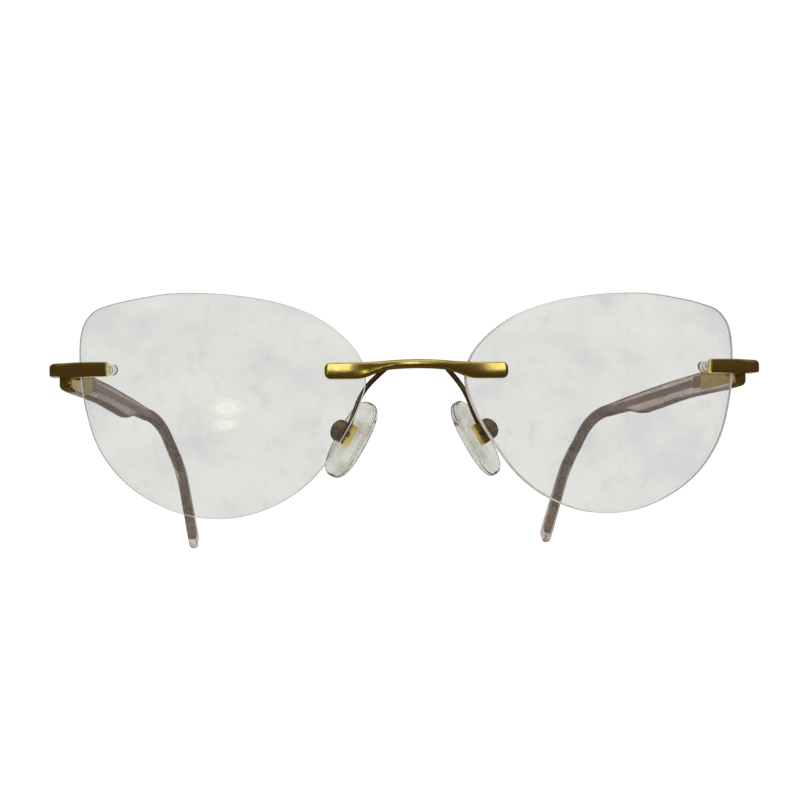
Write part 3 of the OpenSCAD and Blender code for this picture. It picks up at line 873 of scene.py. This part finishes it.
def temple(side, finish):
    """The acetate temple, polished round, from its metal cap to the tip."""
    top = profile(SHAFT_TOP)
    low = profile(SHAFT_LOW)
    rings = []
    for y in [CAP_END + 0.03] + spaced(5.0, SPINE_END + 0.02, 1.2):
        rings.append(temple_ring((y, top(y)), (y, low(y)), 0.62, 1.0, SPINE_DEPTH))
    for y in spaced(SPINE_END + 0.03, 75.4, 1.4):
        share = min(1.0, (y - SPINE_END) / 40)
        rings.append(temple_ring((y, top(y)), (y, low(y)), 0.62 + 0.3 * share))
    for high, under, thick in ear_stations():
        rings.append(temple_ring(tuple(high), tuple(under), 1.0, thick))
    place = on_side(side, TEMPLE)
    piece = build(f"temple_{side}_acetate", *skin(rings), place, [finish["acetate"]], None, 50)
    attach(piece, f"temple_arm_{side}")
    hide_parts(f"temple_{side}")


def temple_cap(side, finish):
    """The metal cap at the front end of the temple, rounded off below for the fold."""
    top = profile(SHAFT_TOP)
    low = profile(SHAFT_LOW)
    rings = []
    for y in (0.1, 0.14, 0.22, 0.34, 0.5, 0.75, 1.0, 1.6, 2.4, 3.2, 3.66, 3.74, 3.78, CAP_END):
        lift = 0.9 - math.sqrt(max(0.0, 0.81 - max(0.0, 1.0 - y) ** 2))
        fall = round_end(y - CAP_START, 0.3) * 0.7 + round_end(CAP_END - y, 0.1) * 0.6
        rings.append(
            temple_ring((y, top(y) - fall), (y, low(y) + lift + fall), 0.62, 1 - fall * 0.5, SPINE_DEPTH)
        )
    piece = build(f"temple_cap_{side}_shell", *skin(rings), on_side(side, TEMPLE), [finish["gold"]])
    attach(piece, f"temple_arm_{side}")
    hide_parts(f"temple_cap_{side}")


# ---------- Small parts carried over from the frame ----------

CARRIED = {
    "pad_box": ("gold", 0.34),
    "pad_screw": ("steel", 0.04),
    "pad_core": ("pad_plate", 0.06),
    "hinge_leaf": ("gold", 0.07),
    "hinge_screw": ("steel", 0.06),
    "temple_spine": ("gold", 0.06),
    "temple_pin": ("steel", 0.06),
    "core_wire": ("core", 0.08),
    "sleeve_nasal": ("sleeve", 0.07),
    "sleeve_temporal": ("sleeve", 0.07),
}


def carry(node, material, width):
    """Finishes a small part of the frame: its material, broken edges and smooth round faces."""
    piece = frame["nodes"][node]
    piece.data.materials.clear()
    piece.data.materials.append(material)
    bevel = piece.modifiers.new("broken_edges", "BEVEL")
    bevel.width = width * MM
    bevel.segments = 3
    bevel.limit_method = "ANGLE"
    bevel.angle_limit = math.radians(42)
    flat = piece.modifiers.new("flat_faces", "EDGE_SPLIT")
    flat.split_angle = math.radians(14)


# ---------- Stage ----------

FLOOR_Z = -0.06


def white_paper():
    """Paper lit through from behind, so that it stays white to the horizon."""
    finish = Finish("white_paper")
    grain = finish.noise(0.02, 3)
    finish.colour(finish.blend(grain, [(0.33, 0.33, 0.33), (0.36, 0.36, 0.36)]))
    finish.set(Roughness=0.9, Specular_IOR_Level=0.0, Emission_Color=(1, 1, 1, 1), Emission_Strength=0.72)
    return finish.material


def floor():
    """Plain sheet, low enough that the camera stays above it."""
    size = 6.0
    points = [(-size, -size, FLOOR_Z), (size, -size, FLOOR_Z), (size, size, FLOOR_Z), (-size, size, FLOOR_Z)]
    sheet = build("paper_floor", points, [[0, 1, 2, 3]], Matrix.Identity(4), [white_paper()])
    sheet.visible_glossy = False


def sky():
    """White all round to the eye, and a warm dim room with a bright ceiling to whatever reflects it."""
    world = bpy.data.worlds.new("studio")
    bpy.context.scene.world = world
    world.use_nodes = True
    tree = world.node_tree
    links = tree.links
    seen = tree.nodes["Background"]
    seen.inputs["Color"].default_value = (1, 1, 1, 1)
    seen.inputs["Strength"].default_value = 1.04
    room = tree.nodes.new("ShaderNodeBackground")
    facing = tree.nodes.new("ShaderNodeVectorMath")
    facing.operation = "DOT_PRODUCT"
    facing.inputs[1].default_value = Vector((0.1, -0.35, 0.93)).normalized()
    links.new(tree.nodes.new("ShaderNodeTexCoord").outputs["Generated"], facing.inputs[0])
    height = tree.nodes.new("ShaderNodeMapRange")
    height.inputs["From Min"].default_value = -1.0
    links.new(facing.outputs["Value"], height.inputs["Value"])
    ramp = tree.nodes.new("ShaderNodeValToRGB")
    stops = (
        (0.0, (0.11, 0.08, 0.055)), (0.40, (0.058, 0.036, 0.019)), (0.62, (0.062, 0.039, 0.021)),
        (0.76, (0.10, 0.075, 0.05)), (0.90, (0.28, 0.26, 0.22)), (1.0, (0.45, 0.44, 0.40)),
    )
    while len(ramp.color_ramp.elements) < len(stops):
        ramp.color_ramp.elements.new(0.5)
    for element, (stop, colour) in zip(ramp.color_ramp.elements, stops):
        element.position = stop
        element.color = (*colour, 1)
    links.new(height.outputs["Result"], ramp.inputs["Fac"])
    links.new(ramp.outputs["Color"], room.inputs["Color"])
    path = tree.nodes.new("ShaderNodeLightPath")
    mirrored = tree.nodes.new("ShaderNodeMath")
    mirrored.operation = "SUBTRACT"
    mirrored.use_clamp = True
    links.new(path.outputs["Is Glossy Ray"], mirrored.inputs[0])
    links.new(path.outputs["Is Transmission Ray"], mirrored.inputs[1])
    mix = tree.nodes.new("ShaderNodeMixShader")
    links.new(mirrored.outputs[0], mix.inputs["Fac"])
    links.new(seen.outputs["Background"], mix.inputs[1])
    links.new(room.outputs["Background"], mix.inputs[2])
    links.new(mix.outputs["Shader"], tree.nodes["World Output"].inputs["Surface"])


def lamp(name, place, target, size, radiance, colour=(1, 1, 1), shape="RECTANGLE"):
    """A soft panel, in metres, of this brightness, that is seen only in what it lights."""
    data = bpy.data.lights.new(name, "AREA")
    data.shape = shape
    data.size = size[0]
    data.size_y = size[1]
    area = size[0] * size[1] * (1 if shape == "RECTANGLE" else math.pi / 4)
    data.energy = radiance * math.pi * area
    data.color = colour
    light = bpy.data.objects.new(name, data)
    light.location = place
    light.rotation_euler = (Vector(target) - Vector(place)).to_track_quat("-Z", "Y").to_euler()
    light.visible_camera = False
    light.visible_transmission = False
    bpy.context.scene.collection.objects.link(light)
    return light


def kept_off_lenses(lights):
    """Lets the lights fall on everything but the lenses, where each would show as a white square."""
    lit = bpy.data.collections.new("all_but_lenses")
    for piece in bpy.context.scene.objects:
        if piece.type == "MESH" and "lens" not in piece.name:
            lit.objects.link(piece)
    for light in lights:
        light.light_linking.receiver_collection = lit


def lamps():
    """Three large soft panels, and two small warm bulbs with their glow."""
    middle = (0, -0.05, 0.02)
    warm = (1, 0.98, 0.42)
    ceiling = lamp("ceiling_panel", (0.0, -0.2, 0.65), middle, (0.5, 0.24), 0.7, (1, 0.98, 0.94))
    front = (0, -0.062, 0.027)
    window = lamp("front_window", (0.056, -0.83, 0.26), front, (0.17, 0.54), 1.8, (1, 0.99, 0.93))
    wall = lamp("back_wall", (0, 0.9, 0.10), (0, -0.05, 0.02), (1.4, 0.30), 0.36, (1, 0.97, 0.90))
    kept_off_lenses([ceiling, window, wall])
    for name, place, target, size in (
        ("bulb_above", (-0.128, -0.501, -0.014), (-0.034, -0.061, 0.020), (0.036, 0.022)),
        ("bulb_below", (-0.109, -0.401, -0.030), (-0.034, -0.061, 0.017), (0.024, 0.013)),
    ):
        lamp(name, place, target, size, 3.2, warm, "ELLIPSE")
        around = tuple(1.6 * d for d in size)
        lamp(f"{name}_glow", place, target, around, 1.3, warm, "ELLIPSE")


CAMERA_PLACE = (-0.025855, -0.310172, -0.015985)
CAMERA_HEADING = math.radians(5.2405)
CAMERA_RISE = math.radians(8.4)
CAMERA_ROLL = math.radians(-1.22)
CAMERA_LENS = 62.41


def camera():
    """Looks at the glasses from the front, a little from below."""
    data = bpy.data.cameras.new("camera")
    data.lens = CAMERA_LENS
    data.sensor_width = 36
    data.clip_start = 0.01
    eye = bpy.data.objects.new("camera", data)
    turn = turned_z(-CAMERA_HEADING) @ turned_x(math.pi / 2 + CAMERA_RISE) @ turned_z(CAMERA_ROLL)
    eye.matrix_world = Matrix.Translation(CAMERA_PLACE) @ turn
    bpy.context.scene.collection.objects.link(eye)
    bpy.context.scene.camera = eye


# ---------- Everything ----------


def make_all():
    """Builds every piece, then the stage, the lamps and the camera."""
    bpy.context.scene.view_settings.view_transform = "Standard"
    camera()
    sky()
    floor()
    finish = make_materials()
    bridge(finish)
    for side in SIDES:
        lens(side, finish)
        endpiece(side, finish)
        pad_arm(side, finish)
        pad(side, finish)
        temple(side, finish)
        temple_cap(side, finish)
        for part, (key, width) in CARRIED.items():
            carry(f"{part}_{side}", finish[key], width)
    lamps()


make_all()
